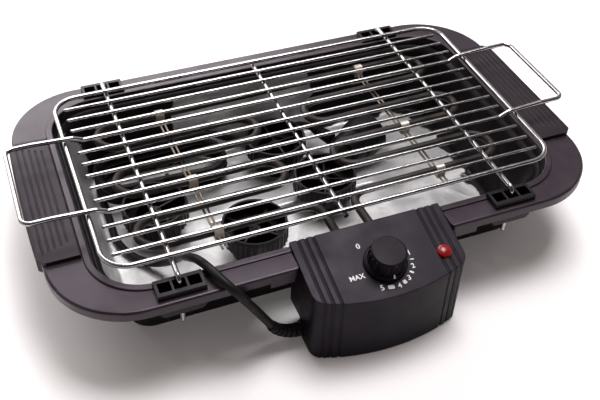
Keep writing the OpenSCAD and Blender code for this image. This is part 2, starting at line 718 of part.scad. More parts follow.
function box_flute_y(x) = x > box_half - box_corner
    ? corner_y - sqrt(pow(box_corner + 0.5, 2) - pow(x - box_half + box_corner, 2))
    : bow_y - sqrt(pow(bow_radius + 0.5, 2) - x*x);

// Bottom and lower back of the box: two plates joined by a riser, with screw bosses
module housing_base() color([0.20, 0.19, 0.20]) difference() {
    union() {
        intersection() {
            translate([unit_x, 0, 0]) linear_extrude(40) box_plan(box_wall + 0.2, box_back - box_wall - 0.2);
            union() {
                translate([-100, -200, box_clear]) cube([300, 200 + box_step, 2.5]);
                translate([-100, box_step - 2.5, box_clear]) cube([300, 2.5, step_z + 2.5 - box_clear]);
                translate([-100, box_step - 2.5, step_z]) cube([300, 60, 2.5]);
            }
        }
        for (s = [-1, 1]) {
            translate([unit_x + s*screw_x, screw_front, box_clear]) cylinder(r = 4.5, h = 6 - box_clear, $fn = 32);
            translate([unit_x + s*screw_x, screw_back, step_z]) cylinder(r = 4.5, h = 6, $fn = 32);
        }
    }
    for (s = [-1, 1]) {
        translate([unit_x + s*screw_x, screw_front, 0]) cylinder(d = 3.4, h = 20, $fn = 24);
        translate([unit_x + s*screw_x, screw_front, 0]) cylinder(d = 6.6, h = box_clear + 2.5, $fn = 24);
        translate([unit_x + s*screw_x, screw_back, step_z - 1]) cylinder(d = 3.4, h = 20, $fn = 24);
        translate([unit_x + s*screw_x, screw_back, step_z - 1]) cylinder(d = 6.6, h = 3.5, $fn = 24);
    }
}
module housing_screws() color([0.6, 0.6, 0.6]) for (s = [-1, 1], f = [[screw_front, box_clear], [screw_back, step_z]])
    translate([unit_x + s*screw_x, f[0], f[1] + 0.4]) {
        cylinder(d = 6, h = 2.1, $fn = 24);
        cylinder(d = 3, h = 13, $fn = 24);
    }

// Pilot lamp: a domed lens with a stem, and the lamp below it
module indicator_lens() color([0.75, 0.05, 0.04]) on_top(unit_x + lamp_x, lamp_y) rotate_extrude() polygon(concat(
    [[0, -5], [4.5, -5], [4.5, 0], [6, 0], [6, 0.8]],
    [for (a = [0:15:75]) [6*cos(a), 0.8 + 2.8*sin(a)]],
    [[0, 3.6]]
));
module indicator_lamp() color([0.9, 0.6, 0.4]) on_top(unit_x + lamp_x, lamp_y) translate([0, 0, -21]) {
    cylinder(d = 6, h = 13, $fn = 32);
    translate([0, 0, 13]) sphere(d = 6, $fn = 32);
    for (t = [-1.5, 1.5]) translate([t, 0, -8]) cylinder(d = 0.8, h = 8.5, $fn = 16);
}

// Thermostat with its bracket under the top, blades at the back
module thermostat_body() color([0.85, 0.82, 0.76]) on_top(unit_x, -knob_y) difference() {
    union() {
        translate([-9, -11, -26]) cube([18, 22, 16]);
        translate([-22, -7, -10]) cube([44, 14, 1.2]);
        translate([0, 0, -10]) cylinder(r = 6, h = 6);
        for (t = [-5, 5]) translate([t - 3.2, 11 - tiny, -23]) cube([6.4, 5, 0.8]);
    }
    translate([0, 0, -18]) cylinder(r = shaft_d/2 + fit_gap, h = 20);
}
module terminal_block() color([0.88, 0.86, 0.80]) translate([unit_x + 8, box_back - 42, box_clear + 2.5]) difference() {
    union() {
        translate([-18, -8, 0]) cube([36, 16, 10]);
        for (k = [-1:1]) translate([k*12 - 4.5, -6, 10]) cube([9, 12, 5]);
    }
    for (k = [-1:1]) translate([k*12, 0, 0]) {
        translate([0, -10, 6]) rotate([-90, 0, 0]) cylinder(d = 4, h = 20, $fn = 24);
        translate([0, -3, 8]) cylinder(d = 3.4, h = 10, $fn = 24);
        translate([0, 3, 8]) cylinder(d = 3.4, h = 10, $fn = 24);
    }
}
// Clamp over the lead inside the box, on one pillar
module cord_clamp() color([0.18, 0.17, 0.18]) translate([unit_x - 50, gland_y - 4, box_clear + 2.5]) difference() {
    union() {
        translate([-4, -7, 0]) cube([8, 4, 17]);
        translate([-4, -7, 14.8]) cube([8, 15.2, 3]);
    }
    translate([-6, 4, gland_z - box_clear - 2.5]) rotate([0, 90, 0]) cylinder(d = cord_d + 0.1, h = 20, $fn = 32);
}

// Strain relief: a flange on the box's side and a ribbed sleeve that turns upwards
module cord_gland() color([0.12, 0.12, 0.12]) {
    translate([gland_x, gland_y, gland_z]) rotate([0, 90, 0]) cylinder(d = 14, h = 2);
    translate([gland_x, gland_y, gland_z]) rotate([0, 90, 0]) cylinder(d = 9.2, h = 6);
    translate([gland_x + 6, gland_y, gland_z]) rotate([0, 90, 0]) cylinder(d = cord_d, h = 22);
    translate([gland_x, gland_y, gland_z + gland_bend]) rotate([90, 0, 0]) rotate([0, 0, -90 - gland_turn]) {
        rotate_extrude(angle = gland_turn) translate([gland_bend, 0]) circle(4.2);
        for (k = [0:5]) rotate([0, 0, gland_turn - 10 - k*9.5])
            rotate_extrude(angle = 6) translate([gland_bend, 0]) circle(5.9 - k*0.26);
    }
}

// Mains lead: the free run into the tray, the folded hank, the run to the plug
lead_path = smooth(LEAD, 4);
tail_path = smooth(TAIL, 4);
module cord_lead() color([0.10, 0.10, 0.10]) tube(lead_path, cord_r, 12);
module cord_tail() color([0.10, 0.10, 0.10]) tube(tail_path, cord_r, 12);

// One turn of the hank as a rounded rectangle, by length from the start of its left side
function hank_xy(d) =
    let (
        a = 2*hank_side, b = a + fold_arc, c = b + 2*hank_run, e = c + fold_arc,
        f = e + 2*hank_side, g = f + fold_arc, h = g + 2*hank_run
    )
    d < a ? [-hank_run - hank_fold, d - hank_side] :
    d < b ? fold_point(-1, 1, 180 - (d - a)/fold_arc*90) :
    d < c ? [d - b - hank_run, hank_side + hank_fold] :
    d < e ? fold_point(1, 1, 90 - (d - c)/fold_arc*90) :
    d < f ? [hank_run + hank_fold, hank_side - (d - e)] :
    d < g ? fold_point(1, -1, -(d - f)/fold_arc*90) :
    d < h ? [hank_run - (d - g), -hank_side - hank_fold] :
    fold_point(-1, -1, -90 - (d - h)/fold_arc*90);
function fold_point(sx, sy, a) = [sx*hank_run + hank_fold*cos(a), sy*hank_side + hank_fold*sin(a)];
hank_rings = round(24*hank_end/hank_turn_length);
hank_path = [for (i = [0:hank_rings])
    let (d = hank_end*i/hank_rings, q = hank_xy(d - floor(d/hank_turn_length)*hank_turn_length))
    [hank_x + q[0], hank_y + q[1], lead_z + hank_lift(d)]];
module cord_hank() color([0.10, 0.10, 0.10]) tube(hank_path, cord_r, 6);
// Least gap of the hank to itself, from the points of its line to the line's other turns
function off_line(p, a, b) = let (d = b - a, t = max(0, min(1, (p - a)*d/(d*d)))) norm(p - a - t*d);
hank_gap = min([for (i = [0:hank_rings], j = [0:hank_rings - 1]) if (abs(i - j) > 12)
    off_line(hank_path[i], hank_path[j], hank_path[j + 1])]) - cord_d;
echo(hank_gap = hank_gap);
function run_length(p) = len(p) < 2 ? 0 : sum([for (i = [0:len(p) - 2]) norm(p[i + 1] - p[i])]);
function sum(v, i = 0) = i >= len(v) ? 0 : v[i] + sum(v, i + 1);
echo(lead_length = run_length(lead_path), hank_length = hank_end, tail_length = run_length(tail_path));

// Plug: a round face with two pins, a stepped back, and the lead entering from the side
module at_plug() translate([plug_x, plug_y, plug_z]) rotate([0, 0, plug_turn]) rotate([0, 90, 0]) children();
module plug_body() color([0.08, 0.08, 0.08]) difference() {
    union() {
        at_plug() rotate_extrude() polygon([
            [0, -23], [12, -23], [15, -21.8], [16.4, -19], [17, -6], [19.4, -2.5], [20.4, 4], [plug_r - 0.6, 6],
            [plug_r, 8], [plug_r, 21], [plug_r - 0.8, 22], [0, 22]
        ]);
        translate(boot_root + 9*plug_b) rotate([0, 0, plug_turn]) rotate([90, 0, 0]) cylinder(r1 = 9.4, r2 = 7.6, h = 9);
    }
    at_plug() for (t = [-9.5, 9.5]) translate([0, t, 12]) cylinder(d = 4.9, h = 20, $fn = 32);
    at_plug() translate([0, 0, 19.5]) difference() {
        cylinder(r = 17.4, h = 5);
        cylinder(r = 15.6, h = 5);
    }
}
module plug_pins() color([0.80, 0.78, 0.70]) at_plug() for (t = [-9.5, 9.5]) translate([0, t, 12.2]) {
    cylinder(d = 4.8, h = 27, $fn = 32);
    translate([0, 0, 27]) cylinder(r1 = 2.4, r2 = 1.2, h = 1.6, $fn = 32);
}
// Ribbed sleeve where the lead enters the plug
module plug_boot() color([0.08, 0.08, 0.08])
    translate(boot_start) rotate([0, 0, plug_turn]) rotate([90, 0, 0]) {
        cylinder(r1 = 4.2, r2 = 5.6, h = boot_length - 0.05);
        for (k = [0:4]) translate([0, 0, 3 + k*3.8]) cylinder(r1 = 5.3 + k*0.3, r2 = 5.6 + k*0.3, h = 2.2);
    }

// Knob: skirt, ribbed cap with a raised pointer, bore for the flatted shaft
module knob() color([0.13, 0.12, 0.13]) on_top(unit_x, -knob_y) translate([0, 0, knob_gap]) difference() {
    union() {
        cylinder(r = knob_d/2, h = 2.2);
        translate([0, 0, 2.2]) cylinder(r1 = knob_d/2, r2 = knob_d/2 - 1.6, h = 1.6);
        cylinder(r1 = cap_d/2 + 1, r2 = cap_d/2, h = knob_height - 1.2);
        translate([0, 0, knob_height - 1.2]) cylinder(r1 = cap_d/2, r2 = cap_d/2 - 1.2, h = 1.2);
        for (i = [0:knob_ribs - 1]) rotate([0, 0, (i + 0.5)*360/knob_ribs]) translate([cap_d/2 + 0.1, 0, 1])
            cylinder(r1 = 1.1, r2 = 0.8, h = knob_height - 3, $fn = 16);
        translate([-1.1, -cap_d/2 - 0.6, 4]) cube([2.2, 6, knob_height - 4.6]);
    }
    translate([0, 0, -1]) difference() {
        cylinder(r = shaft_d/2 + fit_gap, h = 13);
        translate([-5, shaft_d/2 - 1.2, 2]) cube([10, 4, 20]);
    }
    translate([0, 0, -1]) difference() {
        cylinder(r = cap_d/2 - 2, h = 3.2);
        cylinder(r = shaft_d/2 + 2.5, h = 10);
    }
}
module knob_shaft() color([0.7, 0.7, 0.7]) on_top(unit_x, -knob_y) difference() {
    translate([0, 0, -17]) cylinder(d = shaft_d, h = 17 + knob_gap + 11.6);
    translate([-5, shaft_d/2 - 1.25, knob_gap + 0.9]) cube([10, 4, 20]);
}

// Rack: outer wire, bars, the closed handle wire, and three cross wires with feet on the outer two
function bar_y(k) = (k - (bar_count - 1)/2)*bar_pitch;
handle_bars = [floor(bar_count/2) - 3, floor(bar_count/2) + 3];
module rack_frame() color([0.85, 0.85, 0.84])
    translate([0, 0, outer_wire_z]) around(rack_half, rack_side, rack_corner) circle(d = rack_wire, $fn = 32);
module rack_bars() color([0.85, 0.85, 0.84]) for (k = [1:bar_count - 2])
    if (k != handle_bars[0] && k != handle_bars[1]) {
        reach = rack_half - rack_wire/2 - bar_gap;
        translate([-reach, bar_y(k), rack_height]) rotate([0, 90, 0]) cylinder(d = bar_wire, h = 2*reach, $fn = 32);
        for (s = [-1, 1]) translate([s*reach, bar_y(k), rack_height]) sphere(d = bar_wire, $fn = 32);
    }
module rack_handle_wire() color([0.85, 0.85, 0.84]) {
    y = bar_y(handle_bars[1]);
    over = outer_wire_z + rack_wire + 0.1;
    top = rack_height + handle_rise;
    e = handle_span/2 - rack_wire/2;
    half = [
        [rack_half - 16, -y, outer_wire_z], [rack_half - 7, -y, over], [handle_knee, -y, top], [e, -y, top],
        [e, y, top], [handle_knee, y, top], [rack_half - 7, y, over], [rack_half - 16, y, outer_wire_z]
    ];
    left = [for (p = half) [-p[0], -p[1], p[2]]];
    bends = [6, 6, 12, 7, 7, 12, 6, 6];
    wire(concat([[-20, -y, outer_wire_z]], half, left, [[-20, -y, outer_wire_z]]), concat([0], bends, bends, [0]), rack_wire);
}
module rack_cross_middle() color([0.85, 0.85, 0.84])
    bar([cross_shift, -rack_side - 3, cross_z], [cross_shift, rack_side + 3, cross_z], rack_wire);
module rack_cross(s) color([0.85, 0.85, 0.84]) {
    x = cross_shift + s*cross_pitch;
    low = rack_height - foot_length;
    wire([[x, -socket_y, low + 2], [x, -socket_y, cross_z], [x, socket_y, cross_z], [x, socket_y, low + 2]], [0, 5, 5, 0], rack_wire);
    for (t = [-1, 1]) translate([x, t*socket_y, 0]) {
        translate([0, 0, low]) cylinder(d1 = 2.4, d2 = rack_wire, h = 2);
        translate([-3.4, -0.9, pocket_floor + seat_gap]) cube([6.8, 1.8, 4]);
    }
}
module rack_cross_left() rack_cross(-1);
module rack_cross_right() rack_cross(1);

drip_tray();
stored_foot(0);  // stand_foot_a
stored_foot(1);  // stand_foot_b
stored_foot(2);  // stand_foot_c
stored_foot(3);  // stand_foot_d
base_frame();
grip_left();
grip_right();
grip_screws();
socket_front_left();
socket_front_right();
socket_rear_left();
socket_rear_right();
heating_tube();
tube_terminals();
support_rods_left();
support_rods_right();
rod_clips();
control_housing();
housing_base();
housing_screws();
indicator_lens();
indicator_lamp();
thermostat_body();
terminal_block();
cord_clamp();
cord_gland();
cord_lead();
cord_hank();
cord_tail();
plug_body();
plug_boot();
plug_pins();
knob();
knob_shaft();
rack_frame();
rack_bars();
rack_handle_wire();
rack_cross_middle();
rack_cross_left();
rack_cross_right();
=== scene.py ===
import bpy
import bmesh
import json
import math
from mathutils import Matrix, Vector, noise


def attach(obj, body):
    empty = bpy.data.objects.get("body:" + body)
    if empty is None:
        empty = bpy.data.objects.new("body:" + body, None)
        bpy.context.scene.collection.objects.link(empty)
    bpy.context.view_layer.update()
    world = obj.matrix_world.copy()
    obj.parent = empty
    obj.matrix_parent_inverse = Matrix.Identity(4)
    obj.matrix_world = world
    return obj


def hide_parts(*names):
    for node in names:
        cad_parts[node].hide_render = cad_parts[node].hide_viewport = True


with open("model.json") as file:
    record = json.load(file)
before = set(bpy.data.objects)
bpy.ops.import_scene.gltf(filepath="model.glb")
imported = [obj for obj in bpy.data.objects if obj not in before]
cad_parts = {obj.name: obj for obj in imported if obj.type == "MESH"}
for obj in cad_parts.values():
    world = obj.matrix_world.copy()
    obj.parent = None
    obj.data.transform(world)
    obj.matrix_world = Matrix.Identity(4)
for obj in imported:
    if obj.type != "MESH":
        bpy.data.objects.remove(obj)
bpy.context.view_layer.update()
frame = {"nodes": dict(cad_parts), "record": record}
scene = bpy.context.scene
MM = 0.001

# Sizes of the part that the dressing repeats, in millimetres
UNIT_X = 12.5
BOX_HOOK = -118.0
BOX_TOP = 79.9
SLOPE = math.radians(13.2)
KNOB_Y = -156.0
CORD_R = 3.5
LEAD_Z = 1.0 + CORD_R + 0.1
GLAND = (UNIT_X - 65 - 2, -151.0, 14.0)
GLAND_BEND = 28.0
GLAND_TURN = math.radians(62)
HANK = (-108.0, 70.0)
HANK_RUN = 38.5
HANK_FOLD = 21.0
HANK_SIDE = 3.5
HANK_RISE = 7.6
HANK_LOOPS = 3
PLUG = Vector((80.0, 40.0, 22.5))
PLUG_TURN = math.radians(28)
PLUG_R = 21.0
TIE_HALF = 1.6
PRINT_H = 0.06


def mm(*v):
    return Vector(v) * MM


# Camera
cam = bpy.data.cameras.new("camera")
cam.lens = 53.316
cam.sensor_width = 36.0
cam.clip_start = 0.01
cam.clip_end = 50
cam_obj = bpy.data.objects.new("camera", cam)
scene.collection.objects.link(cam_obj)
right = Vector((0.92900, -0.36929, 0.02422))
down = Vector((-0.23444, -0.63788, -0.73358))
ahead = Vector((0.28635, 0.67582, -0.67917))
cam_obj.matrix_world = Matrix((
    (right.x, -down.x, -ahead.x, -0.23394),
    (right.y, -down.y, -ahead.y, -0.56506),
    (right.z, -down.z, -ahead.z, 0.57126),
    (0, 0, 0, 1),
))
scene.camera = cam_obj


# Node materials
class Shader:
    """A material of one Principled shader, with the nodes that feed it."""

    def __init__(self, name, color, rough, metal=0.0, **sockets):
        self.mat = bpy.data.materials.new(name)
        self.mat.use_nodes = True
        self.nodes = self.mat.node_tree.nodes
        self.links = self.mat.node_tree.links
        self.bsdf = self.nodes["Principled BSDF"]
        self.bsdf.inputs["Base Color"].default_value = (*color, 1)
        self.bsdf.inputs["Roughness"].default_value = rough
        self.bsdf.inputs["Metallic"].default_value = metal
        for key, value in sockets.items():
            self.bsdf.inputs[key.replace("_", " ")].default_value = value
        self.coord = self.nodes.new("ShaderNodeTexCoord")
        self.normal = None

    def node(self, kind, **values):
        n = self.nodes.new(kind)
        for key, value in values.items():
            setattr(n, key, value)
        return n

    def noise(self, scale, detail=4, rough=0.5, distortion=0.0, stretch=(1, 1, 1)):
        mapping = self.node("ShaderNodeMapping")
        mapping.inputs["Scale"].default_value = stretch
        tex = self.node("ShaderNodeTexNoise")
        tex.inputs["Scale"].default_value = scale
        tex.inputs["Detail"].default_value = detail
        tex.inputs["Roughness"].default_value = rough
        tex.inputs["Distortion"].default_value = distortion
        self.links.new(self.coord.outputs["Object"], mapping.inputs["Vector"])
        self.links.new(mapping.outputs["Vector"], tex.inputs["Vector"])
        return tex.outputs["Fac"]

    def spread(self, fac, low, high, from_low=0.3, from_high=0.7):
        n = self.node("ShaderNodeMapRange")
        n.inputs["From Min"].default_value = from_low
        n.inputs["From Max"].default_value = from_high
        n.inputs["To Min"].default_value = low
        n.inputs["To Max"].default_value = high
        self.links.new(fac, n.inputs["Value"])
        return n.outputs["Result"]

    def blend(self, fac, a, b):
        n = self.node("ShaderNodeMix", data_type="RGBA")
        n.inputs["A"].default_value = (*a, 1)
        n.inputs["B"].default_value = (*b, 1)
        self.links.new(fac, n.inputs["Factor"])
        return n.outputs["Result"]

    def rough(self, out):
        self.links.new(out, self.bsdf.inputs["Roughness"])
        return self

    def color(self, out):
        self.links.new(out, self.bsdf.inputs["Base Color"])
        return self

    def edge(self, radius):
        n = self.node("ShaderNodeBevel", samples=4)
        n.inputs["Radius"].default_value = radius
        self.normal = n.outputs["Normal"]
        self.links.new(self.normal, self.bsdf.inputs["Normal"])
        return self

    def bump(self, height, strength, distance):
        n = self.node("ShaderNodeBump")
        n.inputs["Strength"].default_value = strength
        n.inputs["Distance"].default_value = distance
        self.links.new(height, n.inputs["Height"])
        if self.normal is not None:
            self.links.new(self.normal, n.inputs["Normal"])
        self.normal = n.outputs["Normal"]
        self.links.new(self.normal, self.bsdf.inputs["Normal"])
        return self


def moulded(name, color, rough, grain=2600, depth=0.00004, edge=0.0006, tint=0.25, gloss=0.3):
    """Moulded plastic: fine spark-eroded grain, faint sheen changes, worn pale specks, eased edges."""
    s = Shader(name, color, rough, Specular_IOR_Level=gloss, Specular_Tint=(1, 0.87, 0.98, 1))
    s.edge(edge)
    s.bump(s.noise(grain, 2, 0.6), 0.35, depth)
    s.rough(s.spread(s.noise(38, 5, 0.6), rough - 0.07, rough + 0.09))
    light = tuple(c * (1 + tint) + 0.002 for c in color)
    dark = tuple(c * (1 - tint * 0.6) for c in color)
    s.color(s.blend(s.spread(s.noise(55, 6, 0.65), 0, 1), dark, light))
    return s.mat


def bright_wire(name):
    """Chrome-plated wire, with a faint haze and small draw marks."""
    s = Shader(name, (0.56, 0.54, 0.545), 0.16, 1.0)
    s.rough(s.spread(s.noise(140, 5, 0.6), 0.12, 0.26))
    s.bump(s.noise(300, 2, 0.5), 0.08, 0.00006)
    haze = s.spread(s.noise(60, 5, 0.7), 0, 1, 0.25, 0.85)
    s.color(s.blend(haze, (0.54, 0.52, 0.525), (0.36, 0.335, 0.33)))
    return s.mat


def pressed_sheet(name):
    """Bright crumpled metal tray, with painted dark reflections at the rear left, the rear right, the
    front right and the right end, where the bright part ends in a rounded edge, and painted shade on the
    top flange and on the outward-facing walls.
    """
    s = Shader(name, (0.78, 0.76, 0.765), 0.24, 1.0)
    axes = s.node("ShaderNodeSeparateXYZ")
    s.links.new(s.coord.outputs["Object"], axes.inputs["Vector"])
    facing = s.node("ShaderNodeVectorMath", operation="DOT_PRODUCT")
    flat = s.node("ShaderNodeVectorMath", operation="MULTIPLY")
    flat.inputs[1].default_value = (1, 1, 0)
    s.links.new(s.coord.outputs["Object"], flat.inputs[0])
    s.links.new(flat.outputs["Vector"], facing.inputs[0])
    s.links.new(s.coord.outputs["Normal"], facing.inputs[1])
    wander = s.spread(s.noise(26, 4, 0.6), -0.007, 0.007)

    def maths(operation, a, b):
        n = s.node("ShaderNodeMath", operation=operation)
        for value, socket in zip((a, b), n.inputs):
            if isinstance(value, float):
                socket.default_value = value
            else:
                s.links.new(value, socket)
        return n.outputs[0]

    def past_lit_corner(x, y):
        """How far a point lies past the rounded corner of the bright part, into the painted dark
        reflection.
        """
        reach = s.node("ShaderNodeCombineXYZ")
        for value, centre, key in ((x, -0.130, "X"), (y, -0.055, "Y")):
            s.links.new(maths("MAXIMUM", maths("ADD", value, centre), 0.0), reach.inputs[key])
        size = s.node("ShaderNodeVectorMath", operation="LENGTH")
        s.links.new(reach.outputs["Vector"], size.inputs[0])
        return s.spread(maths("ADD", size.outputs["Value"], wander), 0, 1, 0.039, 0.041)

    x, y, z = (axes.outputs[key] for key in "XYZ")
    along = maths("ADD", x, wander)
    # Painted dark reflection: the mirror metal is painted near black at the rear left, the rear right,
    # the front right and the right end.
    left_of_lit_part = s.spread(along, 1, 0, -0.084, -0.082)
    right_of_lit_part = s.spread(along, 0, 1, 0.056, 0.058)
    off_lit_part = maths("MAXIMUM", left_of_lit_part, right_of_lit_part)
    rear_painted_reflection = maths("MINIMUM", past_lit_corner(x, y), off_lit_part)
    front_corner = past_lit_corner(x, maths("MULTIPLY", y, -1.0))
    front = maths("MINIMUM", front_corner, s.spread(along, 0, 1, 0.108, 0.111))
    # Painted shade on the tray's top flange, above 63.5 mm.
    rim_painted_shade = s.spread(z, 0, 1, 0.0635, 0.0645)
    # Painted shade on every outward-facing wall, as if it lay in the shadow under the frame.
    outside_painted_shade = s.spread(facing.outputs["Value"], 0, 1, 0.04, 0.06)
    # dark joins the painted dark reflections and the painted shade into one mask.
    dark = maths("MAXIMUM", maths("MAXIMUM", rear_painted_reflection, front), maths("MAXIMUM", rim_painted_shade, outside_painted_shade))
    s.bump(s.noise(17, 3, 0.45, 0.6), 0.55, 0.0045)
    s.bump(s.noise(62, 4, 0.55, 0.8), 0.4, 0.0011)
    s.bump(s.noise(900, 2, 0.5, 0, (1, 0.06, 1)), 0.12, 0.00005)
    grease = s.spread(s.noise(31, 6, 0.7, 0.4), 0, 1, 0.35, 0.8)
    bright = s.blend(grease, (0.80, 0.78, 0.79), (0.46, 0.44, 0.445))
    # Near-black colour painted into the dark reflections and the shade.
    painted_dark_colour = s.blend(s.spread(s.noise(90, 5, 0.6), 0, 1), (0.006, 0.005, 0.006), (0.014, 0.011, 0.013))
    mix = s.node("ShaderNodeMix", data_type="RGBA")
    s.links.new(dark, mix.inputs["Factor"])
    s.links.new(bright, mix.inputs["A"])
    s.links.new(painted_dark_colour, mix.inputs["B"])
    s.color(mix.outputs["Result"])
    # The painted dark parts also lose their metal shine, so they read black.
    metal = s.spread(dark, 0.72, 0, 0, 1)
    s.links.new(metal, s.bsdf.inputs["Metallic"])
    s.bsdf.inputs["Specular IOR Level"].default_value = 0.12
    s.rough(s.spread(s.noise(24, 6, 0.62), 0.26, 0.56))
    return s.mat


def stained_tube(name):
    """Sheath of the heating tube, browned by heat with greyer patches."""
    s = Shader(name, (0.02, 0.015, 0.013), 0.38, 0.0, Specular_IOR_Level=0.28)
    burnt = s.spread(s.noise(46, 6, 0.65), 0, 1, 0.4, 0.85)
    s.color(s.blend(burnt, (0.011, 0.0075, 0.007), (0.050, 0.033, 0.027)))
    s.rough(s.spread(s.noise(120, 5, 0.6), 0.30, 0.55))
    s.bump(s.noise(700, 3, 0.6), 0.25, 0.00010)
    return s.mat


def old_wire(name, color, dark, rough=0.36):
    """Plain plated steel, yellowed by heat."""
    s = Shader(name, color, rough, 0.85)
    s.color(s.blend(s.spread(s.noise(80, 6, 0.65), 0, 1, 0.3, 0.75), color, dark))
    s.rough(s.spread(s.noise(150, 4, 0.6), rough - 0.1, rough + 0.14))
    s.bump(s.noise(900, 2, 0.5), 0.2, 0.00008)
    return s.mat


def lead_rubber(name):
    """Black rubber with a fine dull grain."""
    s = Shader(name, (0.008, 0.007, 0.008), 0.46, Specular_IOR_Level=0.16)
    s.rough(s.spread(s.noise(90, 5, 0.6), 0.38, 0.58))
    s.bump(s.noise(1500, 3, 0.6), 0.25, 0.00008)
    s.color(s.blend(s.spread(s.noise(65, 6, 0.7), 0, 1), (0.004, 0.0035, 0.004), (0.012, 0.010, 0.011)))
    return s.mat


def red_lens(name):
    """Red lamp lens, slightly clear."""
    s = Shader(name, (0.28, 0.006, 0.010), 0.22, 0.0, Transmission_Weight=0.2, IOR=1.49,
               Coat_Weight=0.15, Specular_IOR_Level=0.3)
    s.color(s.blend(s.spread(s.noise(160, 3, 0.5), 0, 1), (0.22, 0.004, 0.008), (0.32, 0.010, 0.015)))
    s.bump(s.noise(500, 2, 0.4), 0.06, 0.0001)
    return s.mat


def print_ink(name):
    """Pale printed ink, a little worn."""
    s = Shader(name, (0.74, 0.74, 0.75), 0.55)
    s.color(s.blend(s.spread(s.noise(700, 4, 0.6), 0, 1), (0.60, 0.60, 0.62), (0.82, 0.82, 0.83)))
    return s.mat


MATS = {
    "tray_sheet": pressed_sheet("tray_sheet"),
    "foot_plastic": moulded("foot_plastic", (0.004, 0.0035, 0.004), 0.34, edge=0.0004, gloss=0.25),
    "frame_plastic": moulded("frame_plastic", (0.020, 0.013, 0.018), 0.33, edge=0.0009, gloss=0.40),
    "grip_plastic": moulded("grip_plastic", (0.013, 0.008, 0.011), 0.42, edge=0.0007, gloss=0.20),
    "socket_plastic": moulded("socket_plastic", (0.004, 0.0035, 0.004), 0.34, edge=0.0003, gloss=0.25),
    "screw_steel": old_wire("screw_steel", (0.60, 0.60, 0.60), (0.40, 0.40, 0.41), 0.3),
    "heater_steel": stained_tube("heater_steel"),
    "bracket_steel": old_wire("bracket_steel", (0.36, 0.30, 0.24), (0.12, 0.085, 0.06)),
    "box_plastic": moulded("box_plastic", (0.006, 0.0045, 0.008), 0.42, edge=0.0012, gloss=0.14),
    "lamp_red": red_lens("lamp_red"),
    "lamp_glass": old_wire("lamp_glass", (0.80, 0.70, 0.60), (0.6, 0.5, 0.4)),
    "ceramic_white": moulded("ceramic_white", (0.66, 0.62, 0.55), 0.5, tint=0.06),
    "cord_rubber": lead_rubber("cord_rubber"),
    "plug_plastic": moulded("plug_plastic", (0.005, 0.0045, 0.005), 0.38, edge=0.0008, gloss=0.2),
    "pin_metal": old_wire("pin_metal", (0.78, 0.76, 0.70), (0.62, 0.58, 0.50), 0.22),
    "knob_plastic": moulded("knob_plastic", (0.006, 0.005, 0.007), 0.42, edge=0.0008, gloss=0.10),
    "rack_chrome": bright_wire("rack_chrome"),
}
INK = print_ink("dial_ink")

for sub in frame["record"]["subparts"]:
    node = frame["nodes"][sub["node"]]
    node.data.materials.clear()
    node.data.materials.append(MATS[sub["material_slot"]])


clips = frame["nodes"]["rod_clips"].data.materials
clips.clear()
clips.append(old_wire("clip_steel", (0.74, 0.68, 0.62), (0.42, 0.34, 0.27), 0.42))


def piece(name, data, body, slot=None, mat=None):
    """Puts a new piece on a CAD body, with the finish of a material slot."""
    o = bpy.data.objects.new(name, data)
    scene.collection.objects.link(o)
    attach(o, body)
    o.data.materials.append(mat or MATS[slot])
    return o


# Mains lead: the same route as the part's, as one curve
def spline(points, steps):
    out = []
    n = len(points)
    for i in range(n - 1):
        a, b, c, d = (points[max(0, min(n - 1, i + k))] for k in (-1, 0, 1, 2))
        for s in range(steps):
            t = s / steps
            out.append(0.5 * ((2 * b) + (c - a) * t + (2 * a - 5 * b + 4 * c - d) * t * t
                              + (3 * b - a - 3 * c + d) * t * t * t))
    return out + [points[-1]]


def hank_points():
    run, fold, side = HANK_RUN, HANK_FOLD, HANK_SIDE
    arc = fold * math.pi / 2
    turn = 4 * arc + 4 * run + 4 * side
    end = HANK_LOOPS * turn + 2 * side + arc + 2 * run
    marks = [2 * side, arc, 2 * run, arc, 2 * side, arc, 2 * run, arc]

    def corner(sx, sy, a):
        a = math.radians(a)
        return sx * run + fold * math.cos(a), sy * side + fold * math.sin(a)

    def flat(d):
        k = 0
        while k < 7 and d > marks[k]:
            d -= marks[k]
            k += 1
        u = d / marks[k]
        return [
            (-run - fold, d - side), corner(-1, 1, 180 - 90 * u),
            (d - run, side + fold), corner(1, 1, 90 - 90 * u),
            (run + fold, side - d), corner(1, -1, -90 * u),
            (run - d, -side - fold), corner(-1, -1, -90 - 90 * u),
        ][k]

    out = []
    count = round(40 * end / turn)
    for i in range(count + 1):
        d = end * i / count
        x, y = flat(d % turn if i else 0)
        t = d / turn
        lift = HANK_RISE * (t - math.sin(2 * math.pi * t) / (2 * math.pi))
        out.append(Vector((HANK[0] + x, HANK[1] + y, LEAD_Z + lift)))
    return out


